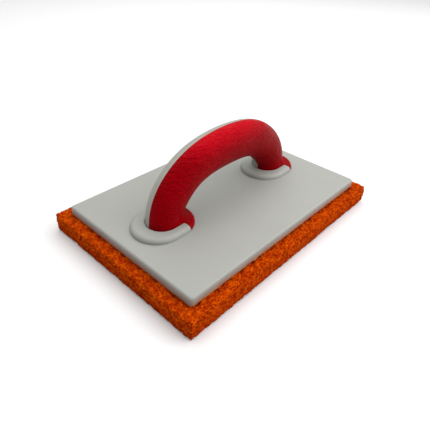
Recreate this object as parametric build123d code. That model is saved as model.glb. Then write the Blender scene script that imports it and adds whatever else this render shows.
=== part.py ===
from build123d import *
from math import cos, pi, sin
import os

# A plasterer's sponge float.  Millimetres, +Z up.  The origin is the middle of
# the sponge's underside.  +X runs along the handle, the handle slides off
# towards +X, and the grey half of the handle is on the +Y side.

# Sponge and the film of glue that holds it
SPONGE_LENGTH = 272.0
SPONGE_WIDTH = 192.0
SPONGE_THICKNESS = 20.0
SPONGE_OVERHANG_X = 12.0
SPONGE_OVERHANG_Y = 12.0
GLUE_THICKNESS = 0.4
GLUE_INSET = 1.0

# Plate
PLATE_THICKNESS = 8.0
PLATE_CORNER_RADIUS = 3.0
PLATE_EDGE_RADIUS = 2.0
PLATE_DRAFT = 3.0

# Arched handle.  Its heights are above the plate's top.  The legs stand upright
# to just over the collars' rim, and from there each side of the arch is a bow
# |x/span|^reach + (z/rise)^lift = 1, given by its two powers (reach, lift).
HANDLE_RISE = 73.2
GRIP_HEIGHT = 40.0
FOOT_SPACING = 154.6
LEG_LENGTH = 35.8
LEG_ABOVE_RIM = 1.0
GRIP_WIDTH = 31.6
OUTER_POWERS = (2.25, 1.95)
INNER_POWERS = (3.2, 1.28)
ARCH_SECTIONS = 9
SHELL_WALL = 3.0

# Ribs, bosses and pins between the two halves, as shares of the arch's sweep
RIB_THICKNESS = 2.0
RIB_PLACES = (0.14, 0.24, 0.38, 0.62, 0.76, 0.86)
BOSS_PLACES = (0.19, 0.5, 0.81)
BOSS_DIAMETER = 9.0
PIN_DIAMETER = 4.0
PIN_REACH = 6.0
PIN_CLEARANCE = 0.1

# Collars moulded on the plate, and the foot that slides into each of them
COLLAR_HALF_WIDTH = 25.6
COLLAR_HEIGHT = 5.0
COLLAR_END_WALL = 14.8
COLLAR_MOUTH = 9.6
COLLAR_OUTER_ROUND = 4.2
COLLAR_INNER_ROUND = 1.2
FLANGE_WIDTH = 3.2
FLANGE_THICKNESS = 2.4
STOP_REACH = 19.5
INSTEP_RADIUS = 7.0
INSTEP_SECTIONS = 5
INSTEP_SINK = 1.0
SLIDE_CLEARANCE = 0.3
STOP_GAP = 0.8

# Worked out from the sizes above
PLATE_LENGTH = SPONGE_LENGTH - 2 * SPONGE_OVERHANG_X
PLATE_WIDTH = SPONGE_WIDTH - 2 * SPONGE_OVERHANG_Y
PLATE_BOTTOM = SPONGE_THICKNESS + GLUE_THICKNESS
PLATE_TOP = PLATE_BOTTOM + PLATE_THICKNESS
FOOT_BOTTOM = PLATE_TOP + SLIDE_CLEARANCE
UPRIGHT = COLLAR_HEIGHT + LEG_ABOVE_RIM
SPRING = PLATE_TOP + UPRIGHT
FLANGE_RADIUS = GRIP_WIDTH / 2 + FLANGE_WIDTH
LEG_NOSE = (GRIP_WIDTH - LEG_LENGTH) / 2
COLLAR_END = LEG_LENGTH / 2 + SLIDE_CLEARANCE + COLLAR_END_WALL
COLLAR_NOSE = COLLAR_HALF_WIDTH - COLLAR_END
STOP_NOSE = COLLAR_MOUTH + STOP_REACH - COLLAR_HALF_WIDTH
STOP_HEIGHT = COLLAR_HEIGHT - SLIDE_CLEARANCE
FOOT_CENTRES = (-FOOT_SPACING / 2, FOOT_SPACING / 2)
BIG = SPONGE_LENGTH + SPONGE_WIDTH


def tongue(radius, nose, end):
    """Flat outline rounded towards -X about `nose` and cut square at `end`."""
    straight = Rectangle(end - nose, 2 * radius, align=(Align.MIN, Align.CENTER))
    beyond = Rectangle(2 * radius, 3 * radius, align=(Align.MIN, Align.CENTER))
    return Pos(nose, 0) * (Circle(radius) + straight) - Pos(end, 0) * beyond


def sponge_pad():
    """Cut slab of open-cell sponge."""
    base = (Align.CENTER, Align.CENTER, Align.MIN)
    return Box(SPONGE_LENGTH, SPONGE_WIDTH, SPONGE_THICKNESS, align=base)


def adhesive_layer():
    """Film of contact glue between the sponge and the plate."""
    outline = Rectangle(PLATE_LENGTH - 2 * GLUE_INSET, PLATE_WIDTH - 2 * GLUE_INSET)
    return Pos(0, 0, SPONGE_THICKNESS) * extrude(outline, GLUE_THICKNESS)


def plate_slab():
    """Slab with drafted sides and a rounded upper edge."""
    top = RectangleRounded(PLATE_LENGTH, PLATE_WIDTH, PLATE_CORNER_RADIUS)
    slab = extrude(top, -PLATE_THICKNESS, taper=-PLATE_DRAFT)
    slab = fillet(slab.faces().sort_by(Axis.Z)[-1].edges(), PLATE_EDGE_RADIUS)
    return Pos(0, 0, PLATE_TOP) * slab


def collar():
    """U-shaped raised collar, open towards +X, undercut for the foot's flange."""
    body = extrude(tongue(COLLAR_HALF_WIDTH, COLLAR_NOSE, COLLAR_MOUTH), COLLAR_HEIGHT)
    rim = body.faces().sort_by(Axis.Z)[-1].edges()
    rim = [edge for edge in rim if (edge @ 0.5).X < COLLAR_MOUTH - SLIDE_CLEARANCE]
    body = fillet(rim, COLLAR_OUTER_ROUND)
    body -= extrude(tongue(GRIP_WIDTH / 2 + SLIDE_CLEARANCE, LEG_NOSE, BIG), BIG)
    inner = body.faces().sort_by(Axis.Z)[-1].edges()
    inner = [edge for edge in inner if is_inner_rim(edge)]
    body = fillet(inner, COLLAR_INNER_ROUND)
    groove = tongue(FLANGE_RADIUS + SLIDE_CLEARANCE, LEG_NOSE, BIG)
    return body - extrude(groove, FLANGE_THICKNESS + 2 * SLIDE_CLEARANCE)


def is_inner_rim(edge):
    """Whether a top edge of the collar runs round its opening."""
    middle = edge @ 0.5
    half_opening = GRIP_WIDTH / 2 + 2 * SLIDE_CLEARANCE
    beside_leg = LEG_NOSE - half_opening < middle.X < COLLAR_MOUTH - SLIDE_CLEARANCE
    return beside_leg and abs(middle.Y) < half_opening


def base_plate():
    """Plate with both collars moulded on it."""
    plate = plate_slab()
    for centre in FOOT_CENTRES:
        plate += Pos(centre, 0, PLATE_TOP) * collar()
    return plate


def bow_point(half_span, rise, powers, angle):
    """Point of a bow over the legs, from its -X end (0) to its +X end (pi)."""
    reach = abs(cos(angle)) ** (2 / powers[0])
    lift = max(sin(angle), 0) ** (2 / powers[1])
    side = -1 if angle < pi / 2 else 1
    return Vector(side * half_span * reach, 0, SPRING + rise * lift)


def bow_section(place):
    """Plane across the handle and its half thickness, at a share of the sweep."""
    angle = pi * place
    outer_span = (FOOT_SPACING + LEG_LENGTH) / 2
    inner_span = (FOOT_SPACING - LEG_LENGTH) / 2
    outer = bow_point(outer_span, HANDLE_RISE - UPRIGHT, OUTER_POWERS, angle)
    inner = bow_point(inner_span, HANDLE_RISE - GRIP_HEIGHT - UPRIGHT, INNER_POWERS, angle)
    across = outer - inner
    plane = Plane((outer + inner) / 2, x_dir=across, z_dir=across.cross(Vector(0, 1, 0)))
    return plane, across.length / 2


def bow(shrink):
    """Arch lofted through ellipses on two upright legs, `shrink` smaller all round."""
    sections = []
    for index in range(ARCH_SECTIONS):
        plane, half = bow_section(index / (ARCH_SECTIONS - 1))
        sections.append(plane * Ellipse(half - shrink, GRIP_WIDTH / 2 - shrink))
    arch = loft(sections)
    for centre in FOOT_CENTRES:
        outline = Ellipse(LEG_LENGTH / 2 - shrink, GRIP_WIDTH / 2 - shrink)
        arch += Pos(centre, 0, FOOT_BOTTOM) * extrude(outline, SPRING - FOOT_BOTTOM)
    return arch


def boss_cylinder(place, diameter, low, high):
    """Round bar along Y on the handle's centre line, from Y = low to high."""
    plane, _ = bow_section(place)
    bar = Cylinder(diameter / 2, high - low, align=(Align.CENTER, Align.CENTER, Align.MIN))
    return Pos(plane.origin.X, low, plane.origin.Z) * Rot(-90, 0, 0) * bar


def hollow():
    """Space inside the handle, less the ribs and bosses that stand in it."""
    space = bow(SHELL_WALL)
    slab_width = LEG_LENGTH + GRIP_WIDTH
    for place in RIB_PLACES:
        plane, _ = bow_section(place)
        space -= plane * Box(slab_width, slab_width, RIB_THICKNESS)
    for place in BOSS_PLACES:
        space -= boss_cylinder(place, BOSS_DIAMETER, -GRIP_WIDTH, GRIP_WIDTH)
    return space


def instep():
    """Hollow-sided flare that blends the leg into the stop on its +X side."""
    sections = []
    for index in range(INSTEP_SECTIONS):
        angle = pi / 2 * index / (INSTEP_SECTIONS - 1)
        flare = INSTEP_RADIUS * (1 - sin(angle)) - INSTEP_SINK
        height = STOP_HEIGHT - INSTEP_SINK + INSTEP_RADIUS * (1 - cos(angle))
        half = (LEG_LENGTH - INSTEP_SINK + flare) / 2
        outline = Ellipse(half, GRIP_WIDTH / 2 - SLIDE_CLEARANCE)
        sections.append(Pos((flare + INSTEP_SINK) / 2, 0, height) * outline)
    return loft(sections)


def foot():
    """Flange that slides under the collar's lips, and the stop that closes its mouth."""
    face = COLLAR_MOUTH + STOP_GAP
    flange = extrude(tongue(FLANGE_RADIUS, LEG_NOSE, face), FLANGE_THICKNESS)
    neck = Rectangle(face, GRIP_WIDTH - SLIDE_CLEARANCE, align=(Align.MIN, Align.CENTER))
    neck = extrude(neck, STOP_HEIGHT)
    stop = Pos(STOP_NOSE, 0) * Circle(COLLAR_HALF_WIDTH)
    stop -= Pos(face, 0) * Rectangle(BIG, BIG, align=(Align.MAX, Align.CENTER))
    stop = extrude(stop, STOP_HEIGHT)
    rim = stop.faces().sort_by(Axis.Z)[-1].edges()
    rim = [edge for edge in rim if (edge @ 0.5).X > face + SLIDE_CLEARANCE]
    return flange + neck + fillet(rim, COLLAR_OUTER_ROUND) + instep()


def handle_halves():
    """Grey half at +Y with pin holes, and red half at -Y with the pins."""
    handle = bow(0)
    for centre in FOOT_CENTRES:
        handle += Pos(centre, 0, FOOT_BOTTOM) * foot()
    handle -= hollow()
    grey = handle & Box(BIG, BIG, BIG, align=(Align.CENTER, Align.MIN, Align.CENTER))
    red = handle & Box(BIG, BIG, BIG, align=(Align.CENTER, Align.MAX, Align.CENTER))
    hole_diameter = PIN_DIAMETER + 2 * PIN_CLEARANCE
    for place in BOSS_PLACES:
        grey -= boss_cylinder(place, hole_diameter, -PIN_REACH, PIN_REACH + PIN_CLEARANCE)
        red += boss_cylinder(place, PIN_DIAMETER, -PIN_REACH, PIN_REACH)
    return grey, red


grey_half, red_half = handle_halves()
PARTS = {
    "sponge_pad": sponge_pad(),
    "adhesive_layer": adhesive_layer(),
    "base_plate": base_plate(),
    "handle_shell_grey": grey_half,
    "handle_shell_red": red_half,
}
os.makedirs("parts", exist_ok=True)
for name, shape in PARTS.items():
    export_step(shape, f"parts/{name}.step")
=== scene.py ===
import math

import bmesh
import bpy
import numpy as np
from mathutils import Matrix, Vector
from mathutils.bvhtree import BVHTree


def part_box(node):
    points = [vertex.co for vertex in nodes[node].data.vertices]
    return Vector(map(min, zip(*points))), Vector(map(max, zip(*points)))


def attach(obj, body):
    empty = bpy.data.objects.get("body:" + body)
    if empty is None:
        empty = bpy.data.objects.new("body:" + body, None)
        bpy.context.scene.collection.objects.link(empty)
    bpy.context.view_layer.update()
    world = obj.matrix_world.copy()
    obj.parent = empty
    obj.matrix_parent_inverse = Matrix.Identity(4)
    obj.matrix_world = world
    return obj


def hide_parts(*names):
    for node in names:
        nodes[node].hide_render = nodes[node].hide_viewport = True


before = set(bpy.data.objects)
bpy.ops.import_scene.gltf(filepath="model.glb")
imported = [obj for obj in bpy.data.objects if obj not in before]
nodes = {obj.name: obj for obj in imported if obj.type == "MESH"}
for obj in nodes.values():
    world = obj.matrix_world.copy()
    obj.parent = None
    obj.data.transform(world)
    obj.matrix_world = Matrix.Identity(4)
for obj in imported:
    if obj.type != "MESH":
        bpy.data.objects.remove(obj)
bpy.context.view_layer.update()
MM = 0.001

# ---------------------------------------------------------------- materials
# Noise and cell scales are in cells per metre, colours are linear.

# Heights of the plate's lower band of painted shade and painted orange bounce light from the
# sponge, partly a glue smear.
SHADE_SMEAR_FULL, SHADE_SMEAR_GONE = 20.5 * MM, 27.0 * MM
# Heights over which the red shell turns from its shaded tone to its lit tone: painted light on the
# crown, partly rubbed wear.
CROWN_START, CROWN_FULL = 82.0 * MM, 102.0 * MM
GRAIN_START, GRAIN_FULL = 34.0 * MM, 58.0 * MM
# Height below which the sponge gets painted shade towards its bottom edge.
BOTTOM_SHADE_GONE = 13.0 * MM


class Nodes:
    """Small helper for building a node material from the shader backwards."""

    def __init__(self, name):
        self.material = bpy.data.materials.new(name)
        self.material.use_nodes = True
        self.tree = self.material.node_tree
        self.shader = self.tree.nodes["Principled BSDF"]

    def node(self, kind, inputs=None, **settings):
        made = self.tree.nodes.new(kind)
        for key, value in settings.items():
            setattr(made, key, value)
        for key, value in (inputs or {}).items():
            socket = made.inputs[key]
            if isinstance(value, bpy.types.NodeSocket):
                self.tree.links.new(value, socket)
            else:
                socket.default_value = value
        return made

    def position(self):
        return self.node("ShaderNodeTexCoord").outputs["Object"]

    def height(self):
        separate = self.node("ShaderNodeSeparateXYZ", {"Vector": self.position()})
        return separate.outputs["Z"]

    def noise(self, scale, detail=3.0, rough=0.55, distortion=0.0, vector=None):
        made = self.node("ShaderNodeTexNoise", {
            "Vector": vector or self.position(), "Scale": scale, "Detail": detail,
            "Roughness": rough, "Distortion": distortion})
        return made.outputs["Fac"]

    def cells(self, scale, feature="DISTANCE_TO_EDGE", vector=None):
        made = self.node("ShaderNodeTexVoronoi", {
            "Vector": vector or self.position(), "Scale": scale}, feature=feature)
        return made.outputs["Distance"]

    def ramp(self, factor, low, high, to_low=0.0, to_high=1.0):
        made = self.node("ShaderNodeMapRange", {
            "Value": factor, "From Min": low, "From Max": high,
            "To Min": to_low, "To Max": to_high})
        made.interpolation_type = "SMOOTHSTEP"
        return made.outputs["Result"]

    def math(self, operation, a, b):
        made = self.node("ShaderNodeMath", {0: a, 1: b}, operation=operation)
        return made.outputs["Value"]

    def mix(self, factor, a, b):
        made = self.node("ShaderNodeMix", {"Factor": factor}, data_type="RGBA")
        for index, value in ((6, a), (7, b)):
            if isinstance(value, bpy.types.NodeSocket):
                self.tree.links.new(value, made.inputs[index])
            else:
                made.inputs[index].default_value = (*value, 1.0)
        return made.outputs[2]

    def attribute(self, name):
        return self.node("ShaderNodeAttribute", attribute_name=name).outputs["Fac"]

    def bump(self, height, strength, distance):
        made = self.node("ShaderNodeBump", {
            "Height": height, "Strength": strength, "Distance": distance})
        return made.outputs["Normal"]

    def finish(self, colour, roughness, normal=None, **constants):
        for key, value in (("Base Color", colour), ("Roughness", roughness)):
            socket = self.shader.inputs[key]
            if isinstance(value, bpy.types.NodeSocket):
                self.tree.links.new(value, socket)
            elif key == "Base Color":
                socket.default_value = (*value, 1.0)
            else:
                socket.default_value = value
        if normal is not None:
            self.tree.links.new(normal, self.shader.inputs["Normal"])
        for key, value in constants.items():
            self.shader.inputs[key.replace("_", " ")].default_value = value
        return self.material


def plate_material():
    n = Nodes("grey_plate_plastic")
    patches = n.ramp(n.noise(9.0, 3.0), 0.35, 0.7)
    colour = n.mix(patches, (0.293, 0.297, 0.273), (0.311, 0.315, 0.290))
    specks = n.ramp(n.noise(420.0, 2.0), 0.70, 0.78)
    colour = n.mix(n.math("MULTIPLY", specks, 0.25), colour, (0.28, 0.28, 0.25))
    height = n.height()
    # Painted shade and painted orange light bounced from the sponge, partly a glue smear: the plate
    # turns brown towards its bottom edge.
    glue_smear_and_shade = n.ramp(height, SHADE_SMEAR_FULL, SHADE_SMEAR_GONE, 1.0, 0.0)
    glue_smear_and_shade = n.math("MULTIPLY", glue_smear_and_shade, n.ramp(n.noise(90.0, 4.0), 0.2, 0.8, 0.45, 0.85))
    colour = n.mix(glue_smear_and_shade, colour, (0.27, 0.135, 0.085))
    normal = n.bump(n.noise(2600.0, 2.0), 0.25, 0.0001)
    rough = n.ramp(n.noise(30.0, 4.0), 0.3, 0.7, 0.50, 0.60)
    return n.finish(colour, rough, normal, Specular_IOR_Level=0.3)


def grey_handle_material():
    n = Nodes("grey_handle_plastic")
    patches = n.ramp(n.noise(14.0, 3.0), 0.35, 0.7)
    colour = n.mix(patches, (0.300, 0.292, 0.255), (0.338, 0.332, 0.295))
    fine = n.noise(2200.0, 2.0)
    normal = n.bump(fine, 0.3, 0.0001)
    rough = n.ramp(n.noise(40.0, 4.0), 0.3, 0.7, 0.45, 0.58)
    return n.finish(colour, rough, normal, Specular_IOR_Level=0.4)


def red_material():
    n = Nodes("red_grained_plastic")
    height = n.height()
    # Painted light, partly rubbed wear: the red runs from the shaded tone low on the legs to the
    # lit tone on the crown. The noise patches are random tone.
    patches = n.math("MULTIPLY", n.ramp(n.noise(22.0, 4.0), 0.3, 0.72), 0.22)
    crown_light_and_wear = n.math("ADD", n.ramp(height, CROWN_START, CROWN_FULL, 0.0, 0.8), patches)
    colour = n.mix(crown_light_and_wear, (0.212, 0.0, 0.0018), (0.45, 0.0005, 0.007))
    stretch = n.node("ShaderNodeMapping", {
        "Vector": n.position(), "Scale": (0.30, 0.30, 1.35)})
    stretched = stretch.outputs["Vector"]
    wrinkles = n.noise(300.0, 3.0, 0.5, 1.0, stretched)
    grain = n.ramp(n.cells(420.0, vector=stretched), 0.0, 0.22)
    ridge = n.math("MULTIPLY", grain, n.ramp(wrinkles, 0.25, 0.5))
    # Painted shade: the grain's creases are coloured darker where shade falls in them.
    crease_shade = n.math("SUBTRACT", 1.0, ridge)
    colour = n.mix(n.math("MULTIPLY", crease_shade, 0.22), colour, (0.11, 0.0001, 0.001))
    relief = n.math("ADD", n.math("MULTIPLY", grain, 0.12), wrinkles)
    grained = n.ramp(height, GRAIN_START, GRAIN_FULL, 0.2, 1.0)
    normal = n.bump(n.math("MULTIPLY", relief, grained), 1.0, 0.0020)
    rough = n.ramp(n.noise(55.0, 4.0), 0.3, 0.7, 0.33, 0.46)
    n.shader.inputs["Specular Tint"].default_value = (1.0, 0.05, 0.08, 1.0)
    return n.finish(colour, rough, normal, Specular_IOR_Level=0.06)


def sponge_material():
    n = Nodes("orange_sponge")
    tint = n.ramp(n.noise(240.0, 5.0, 0.7), 0.36, 0.64)
    strut = n.mix(tint, (0.43, 0.028, 0.0001), (0.70, 0.105, 0.0002))
    # Painted shade: the pores and the geometric pits are coloured dark orange for the shade inside
    # them.
    pore = n.mix(tint, (0.12, 0.003, 0.0), (0.23, 0.011, 0.0))
    wide = n.ramp(n.cells(430.0), 0.05, 0.20)
    depth = n.ramp(n.cells(430.0, "F1"), 0.15, 0.75, 1.0, 0.25)
    narrow = n.ramp(n.cells(820.0), 0.05, 0.22)
    open_cells = n.math("MULTIPLY", wide, depth)
    open_cells = n.math("MAXIMUM", open_cells, n.math("MULTIPLY", narrow, 0.42))
    open_cells = n.math("MAXIMUM", open_cells, n.math("MULTIPLY", n.attribute("pit"), 0.9))
    colour = n.mix(n.math("MULTIPLY", open_cells, 0.85), strut, pore)
    height = n.height()
    # Painted shade: the sponge is coloured darker towards its bottom, where the contact shade near
    # the floor falls.
    bottom_shade = n.math("MULTIPLY", n.ramp(height, 0.0, BOTTOM_SHADE_GONE, 0.7, 0.0), tint)
    colour = n.mix(bottom_shade, colour, (0.16, 0.008, 0.0))
    normal = n.bump(n.math("SUBTRACT", 1.0, open_cells), 0.9, 0.0007)
    return n.finish(colour, 0.9, normal, Specular_IOR_Level=0.02)


def glue_material():
    n = Nodes("contact_glue")
    tint = n.ramp(n.noise(120.0, 3.0), 0.3, 0.7)
    colour = n.mix(tint, (0.22, 0.10, 0.012), (0.42, 0.22, 0.035))
    normal = n.bump(n.noise(500.0, 3.0), 0.5, 0.0004)
    return n.finish(colour, 0.35, normal)


def floor_material():
    n = Nodes("studio_floor")
    tint = n.noise(0.8, 2.0)
    colour = n.mix(tint, (0.73, 0.73, 0.73), (0.76, 0.76, 0.76))
    return n.finish(colour, 0.9, None, Specular_IOR_Level=0.1)


def paint(obj, material):
    obj.data.materials.clear()
    obj.data.materials.append(material)


# ------------------------------------------------------------------- sponge

SPONGE_STEP = 0.75 * MM
SPONGE_ROUND = 2.2 * MM
TOP_RING = 20
UNDER_RING = 8
WIDE_CELL, NARROW_CELL = 3.1 * MM, 1.7 * MM
CHUNK, SMALL_CHUNK, TEAR, GAP = 9.0 * MM, 4.0 * MM, 6.0 * MM, 3.2 * MM
GAP_REACH = 3.0 * MM
PIT_BITE, CHUNK_BITE, TEAR_BITE, GAP_BITE = 1.6, 0.9, 4.2, 1.5
SKIN = 0.7 * MM
UNDERSIDE_BITE = 0.6
HASH_AXES = (73856093, 19349663, 83492791)
HASH_SALT, HASH_FIRST, HASH_SECOND = 2654435761, 2246822519, 3266489917
HASH_MASK = 0xFFFFFFFF


def hashed(cells, salt):
    """Repeatable number from 0 to 1 for each row of whole-number cell coordinates."""
    x, y, z = (cells[..., axis] * HASH_AXES[axis] for axis in range(3))
    seed = (x ^ y ^ z ^ (salt * HASH_SALT)) & HASH_MASK
    seed = ((seed >> 15) ^ seed) * HASH_FIRST & HASH_MASK
    seed = ((seed >> 13) ^ seed) * HASH_SECOND & HASH_MASK
    return ((seed >> 16) ^ seed) / (HASH_MASK + 1.0)


def foam(points, size, salt):
    """Distances to the nearest and second nearest bubble, and the nearest one's number."""
    scaled = points / size
    home = np.floor(scaled).astype(np.int64)
    first = np.full(len(points), 9.0)
    second = np.full(len(points), 9.0)
    number = np.zeros(len(points))
    for dx in (-1, 0, 1):
        for dy in (-1, 0, 1):
            for dz in (-1, 0, 1):
                cell = home + np.array((dx, dy, dz))
                jitter = np.stack([hashed(cell, salt + k) for k in (1, 2, 3)], axis=1)
                away = np.linalg.norm(cell + jitter - scaled, axis=1)
                near = away < first
                second = np.where(near, first, np.minimum(second, away))
                number = np.where(near, hashed(cell, salt + 4), number)
                first = np.where(near, away, first)
    return first, second, number


def smooth(x):
    x = np.clip(x, 0.0, 1.0)
    return x * x * (3.0 - 2.0 * x)


def value_noise(points, size, salt):
    """Smooth repeatable noise from 0 to 1."""
    scaled = points / size
    home = np.floor(scaled).astype(np.int64)
    part = smooth(scaled - home)
    total = np.zeros(len(points))
    for corner in np.ndindex(2, 2, 2):
        weight = np.ones(len(points))
        for axis in range(3):
            weight *= part[:, axis] if corner[axis] else 1.0 - part[:, axis]
        total += weight * hashed(home + np.array(corner), salt)
    return total


def pit_depth(points):
    """How deep the surface is bitten at each point, 0 on a cell wall to 1 in a pore."""
    first, second, number = foam(points, WIDE_CELL, 11)
    wide = smooth((second - first) / 0.30) * (0.25 + 0.75 * number)
    first, second, number = foam(points, NARROW_CELL, 29)
    narrow = smooth((second - first) / 0.35) * number
    return np.clip(0.85 * wide + 0.40 * narrow, 0.0, 1.0)


def block_surface(low, high, step):
    """Grid over a block: fine on its sides and rims, coarse beneath, one face on top."""
    counts = [2 * max(1, round((high[i] - low[i]) / step / 2)) for i in range(3)]
    axes = [np.linspace(low[i], high[i], counts[i] + 1) for i in range(3)]
    nx, ny, nz = counts
    index = {}
    verts = []
    faces = []

    def vertex(i, j, k):
        key = (i, j, k)
        if key not in index:
            index[key] = len(verts)
            verts.append((axes[0][i], axes[1][j], axes[2][k]))
        return index[key]

    for j in range(ny):
        for k in range(nz):
            faces.append([vertex(0, j, k), vertex(0, j, k + 1),
                          vertex(0, j + 1, k + 1), vertex(0, j + 1, k)])
            faces.append([vertex(nx, j, k), vertex(nx, j + 1, k),
                          vertex(nx, j + 1, k + 1), vertex(nx, j, k + 1)])
    for i in range(nx):
        for k in range(nz):
            faces.append([vertex(i, 0, k), vertex(i + 1, 0, k),
                          vertex(i + 1, 0, k + 1), vertex(i, 0, k + 1)])
            faces.append([vertex(i, ny, k), vertex(i, ny, k + 1),
                          vertex(i + 1, ny, k + 1), vertex(i + 1, ny, k)])
    for i in range(nx):
        for j in range(ny):
            edge = min(i, j, nx - 1 - i, ny - 1 - j)
            if edge < TOP_RING:
                faces.append([vertex(i, j, nz), vertex(i + 1, j, nz),
                              vertex(i + 1, j + 1, nz), vertex(i, j + 1, nz)])
            if edge < UNDER_RING:
                faces.append([vertex(i, j, 0), vertex(i, j + 1, 0),
                              vertex(i + 1, j + 1, 0), vertex(i + 1, j, 0)])
    for i in range(UNDER_RING, nx - UNDER_RING, 2):
        for j in range(UNDER_RING, ny - UNDER_RING, 2):
            loop = [(i, j)]
            if i == UNDER_RING:
                loop.append((i, j + 1))
            loop.append((i, j + 2))
            if j + 2 == ny - UNDER_RING:
                loop.append((i + 1, j + 2))
            loop.append((i + 2, j + 2))
            if i + 2 == nx - UNDER_RING:
                loop.append((i + 2, j + 1))
            loop.append((i + 2, j))
            if j == UNDER_RING:
                loop.append((i + 1, j))
            faces.append([vertex(a, b, 0) for a, b in loop])
    r = TOP_RING
    rim = [(i, r) for i in range(r, nx - r)]
    rim += [(nx - r, j) for j in range(r, ny - r)]
    rim += [(i, ny - r) for i in range(nx - r, r, -1)]
    rim += [(r, j) for j in range(ny - r, r, -1)]
    faces.append([vertex(a, b, nz) for a, b in rim])
    return np.array(verts), faces


def make_sponge():
    low, high = (np.array(corner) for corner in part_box("sponge_pad"))
    verts, faces = block_surface(low, high, SPONGE_STEP)
    on_top = verts[:, 2] > high[2] - 1e-7
    beneath = verts[:, 2] < low[2] + 1e-7
    core = np.clip(verts, low + SPONGE_ROUND, high - SPONGE_ROUND)
    outward = verts - core
    outward /= np.linalg.norm(outward, axis=1)[:, None]
    verts = core + outward * SPONGE_ROUND
    pit = pit_depth(verts)
    plate_low, plate_high = (np.array(corner)[:2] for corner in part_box("adhesive_layer"))
    beyond = np.maximum(plate_low - verts[:, :2], verts[:, :2] - plate_high).max(axis=1)
    open_air = np.where(on_top, smooth(beyond / MM), 1.0)
    chunks = value_noise(verts, CHUNK, 47) + 0.8 * value_noise(verts, SMALL_CHUNK, 61)
    torn = smooth((value_noise(verts, TEAR, 97) - 0.45) / 0.4)
    corner = 1.0 - np.abs(outward).max(axis=1)
    gaps = smooth((value_noise(verts, GAP, 151) - 0.42) / 0.25)
    gaps *= np.where(on_top, np.exp(-(beyond / GAP_REACH) ** 2), 0.0)
    pit = np.maximum(pit, gaps)
    bite = PIT_BITE * pit + CHUNK_BITE * chunks + TEAR_BITE * torn * corner + GAP_BITE * gaps
    bite = np.maximum(bite * MM - SKIN, 0.0) * open_air
    bite *= np.where(beneath, UNDERSIDE_BITE, 1.0)
    verts = verts - outward * bite[:, None]
    mesh = bpy.data.meshes.new("sponge")
    mesh.from_pydata(verts.tolist(), [], faces)
    values = mesh.attributes.new("pit", "FLOAT", "POINT")
    values.data.foreach_set("value", (pit * open_air).astype(np.float32))
    mesh.shade_smooth()
    sponge = bpy.data.objects.new("sponge", mesh)
    bpy.context.collection.objects.link(sponge)
    paint(sponge, sponge_material())
    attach(sponge, "plate")
    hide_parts("sponge_pad")


# ------------------------------------------------------------- grained shell

GRAIN_EDGE = 1.3 * MM
GRAIN_DEPTH = 0.70 * MM
GRAIN_STRETCH = (0.34, 0.34, 1.3)
CREASE_SIZE, FOLD_SIZE = 2.0 * MM, 2.8 * MM
SEAM_MARGIN = 1.5 * MM


def open_to_air(mesh_builder, reach=25 * MM):
    """Vertices of a shell that face outwards rather than into its hollow."""
    tree = BVHTree.FromBMesh(mesh_builder)
    found = set()
    for vertex in mesh_builder.verts:
        start = vertex.co + vertex.normal * 0.2 * MM
        if tree.ray_cast(start, vertex.normal, reach)[0] is None:
            found.add(vertex)
    return found


def make_grained_shell():
    source = nodes["handle_shell_red"]
    builder = bmesh.new()
    builder.from_mesh(source.data)
    bmesh.ops.transform(builder, matrix=source.matrix_world, verts=builder.verts)
    bmesh.ops.remove_doubles(builder, verts=builder.verts, dist=1e-6)
    outer = open_to_air(builder)
    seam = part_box("handle_shell_red")[1][1]
    for _ in range(5):
        long = [edge for edge in builder.edges if edge.calc_length() > GRAIN_EDGE
                and all(vertex in outer and vertex.co.y < seam - 1e-5 for vertex in edge.verts)]
        if not long:
            break
        made = bmesh.ops.subdivide_edges(builder, edges=long, cuts=1)
        outer.update(item for item in made["geom_inner"]
                     if isinstance(item, bmesh.types.BMVert))
        bmesh.ops.triangulate(builder, faces=[f for f in builder.faces if len(f.verts) > 4])
    builder.normal_update()
    chosen = [vertex for vertex in outer if vertex.is_valid]
    points = np.array([vertex.co for vertex in chosen])
    stretched = points * np.array(GRAIN_STRETCH)
    first, second, _ = foam(stretched, CREASE_SIZE, 71)
    folds = smooth((value_noise(stretched, FOLD_SIZE, 83) - 0.25) / 0.5)
    depth = 0.25 * (1.0 - smooth((second - first) / 0.30)) + 0.75 * folds
    depth *= smooth((seam - points[:, 1]) / SEAM_MARGIN)
    depth *= 0.2 + 0.8 * smooth((points[:, 2] - GRAIN_START) / (GRAIN_FULL - GRAIN_START))
    for vertex, amount in zip(chosen, depth):
        vertex.co -= vertex.normal * float(amount) * GRAIN_DEPTH
    mesh = bpy.data.meshes.new("grained_shell")
    builder.to_mesh(mesh)
    builder.free()
    mesh.shade_smooth()
    shell = bpy.data.objects.new("grained_shell", mesh)
    bpy.context.collection.objects.link(shell)
    paint(shell, red_material())
    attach(shell, "handle")
    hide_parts("handle_shell_red")


# ----------------------------------------------------------------- glue bead

BEAD_STEPS = 480
BEAD_SIDES = 7
BEAD_CORNER = 3.0 * MM
BEAD_TUCK, BEAD_DROP = 0.2 * MM, 0.1 * MM
BEAD_LUMP = 7.0 * MM
BLOB_X, BLOB_REACH, BLOB_SWELL = -48.0 * MM, 2.4 * MM, 0.8


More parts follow.
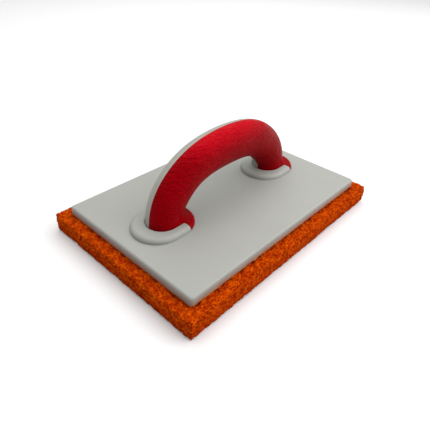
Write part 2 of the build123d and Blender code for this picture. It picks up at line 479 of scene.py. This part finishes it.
def make_glue_bead():
    """Uneven line of glue squeezed out round the foot of the plate."""
    low, high = (np.array(corner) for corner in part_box("base_plate"))
    half_x, half_y = high[0] - BEAD_CORNER, high[1] - BEAD_CORNER
    corners = [(half_x, half_y), (-half_x, half_y), (-half_x, -half_y), (half_x, -half_y)]
    track = []
    for index, (x, y) in enumerate(corners):
        for turn in np.linspace(0.0, math.pi / 2, 10):
            angle = index * math.pi / 2 + turn
            way = np.array((math.cos(angle), math.sin(angle)))
            track.append((np.array((x, y)) + way * BEAD_CORNER, way))
    track.append(track[0])
    lengths = [0.0]
    for (a, _), (b, _) in zip(track, track[1:]):
        lengths.append(lengths[-1] + np.linalg.norm(b - a))
    places = np.linspace(0.0, lengths[-1], BEAD_STEPS, endpoint=False)
    spots, ways = (
        np.stack([np.interp(places, lengths, [pair[part][i] for pair in track]) for i in (0, 1)], 1)
        for part in (0, 1))
    solid = np.column_stack([spots, np.zeros(BEAD_STEPS)])
    swell = 0.12 + 0.30 * value_noise(solid, BEAD_LUMP, 131) ** 2
    blob = np.linalg.norm(spots - np.array((BLOB_X, low[1])), axis=1)
    swell += BLOB_SWELL * np.exp(-(blob / BLOB_REACH) ** 2)
    verts = []
    for spot, way, size in zip(spots, ways, swell * MM):
        for side in range(BEAD_SIDES):
            angle = 2 * math.pi * side / BEAD_SIDES
            out = spot + way * (size * math.cos(angle) - BEAD_TUCK)
            verts.append((*out, low[2] - BEAD_DROP + 0.8 * size * math.sin(angle)))
    faces = []
    for step in range(BEAD_STEPS):
        after = (step + 1) % BEAD_STEPS
        for side in range(BEAD_SIDES):
            other = (side + 1) % BEAD_SIDES
            faces.append((step * BEAD_SIDES + side, after * BEAD_SIDES + side,
                          after * BEAD_SIDES + other, step * BEAD_SIDES + other))
    mesh = bpy.data.meshes.new("glue_bead")
    mesh.from_pydata(verts, [], faces)
    mesh.shade_smooth()
    bead = bpy.data.objects.new("glue_bead", mesh)
    bpy.context.collection.objects.link(bead)
    paint(bead, glue_material())
    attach(bead, "plate")


# ------------------------------------------------------------ carried-over

paint(nodes["base_plate"], plate_material())
paint(nodes["handle_shell_grey"], grey_handle_material())
paint(nodes["adhesive_layer"], glue_material())
make_sponge()
make_grained_shell()
make_glue_bead()

# ------------------------------------------------------------ floor, lights

FLOOR = 4.0
FLOOR_DROP = 0.0002
WORLD_STRENGTH = 0.38


def make_floor():
    corners = [(x, y, 0) for x, y in ((-1, -1), (1, -1), (1, 1), (-1, 1))]
    mesh = bpy.data.meshes.new("floor")
    mesh.from_pydata([(x * FLOOR, y * FLOOR, z) for x, y, z in corners], [], [(0, 1, 2, 3)])
    floor = bpy.data.objects.new("floor", mesh)
    floor.location.z = -FLOOR_DROP
    bpy.context.collection.objects.link(floor)
    paint(floor, floor_material())


def make_world():
    world = bpy.data.worlds.new("studio")
    bpy.context.scene.world = world
    world.use_nodes = True
    background = world.node_tree.nodes["Background"]
    background.inputs["Color"].default_value = (1.0, 1.0, 1.0, 1.0)
    background.inputs["Strength"].default_value = WORLD_STRENGTH


def area_light(name, at, towards, size, power):
    """Square softbox; places and size in metres, power in watts."""
    data = bpy.data.lights.new(name, "AREA")
    data.shape = "SQUARE"
    data.size = size
    data.energy = power
    light = bpy.data.objects.new(name, data)
    light.location = at
    light.rotation_euler = (Vector(towards) - Vector(at)).to_track_quat("-Z", "Y").to_euler()
    bpy.context.collection.objects.link(light)


make_floor()
make_world()
area_light("top_softbox", (0.3, 0.1, 1.5), (0, 0, 0.03), 2.9, 51.0)
area_light("side_softbox", (0.75, -1.15, 0.65), (0, 0, 0.04), 1.3, 13.5)

# ------------------------------------------------------------------- camera

CAMERA_AT = (-0.2683, -0.2345, 0.2605)
CAMERA_YAW, CAMERA_DIP, CAMERA_ROLL = -47.96, 36.36, 2.26
CAMERA_LENS = 34.36

camera_data = bpy.data.cameras.new("camera")
camera_data.lens = CAMERA_LENS
camera_data.sensor_width = 36.0
camera = bpy.data.objects.new("camera", camera_data)
turn = (Matrix.Rotation(math.radians(CAMERA_YAW), 4, "Z")
        @ Matrix.Rotation(math.radians(90.0 - CAMERA_DIP), 4, "X")
        @ Matrix.Rotation(math.radians(CAMERA_ROLL), 4, "Z"))
camera.matrix_world = Matrix.Translation(CAMERA_AT) @ turn
bpy.context.collection.objects.link(camera)
bpy.context.scene.camera = camera
bpy.context.scene.view_settings.view_transform = "Standard"
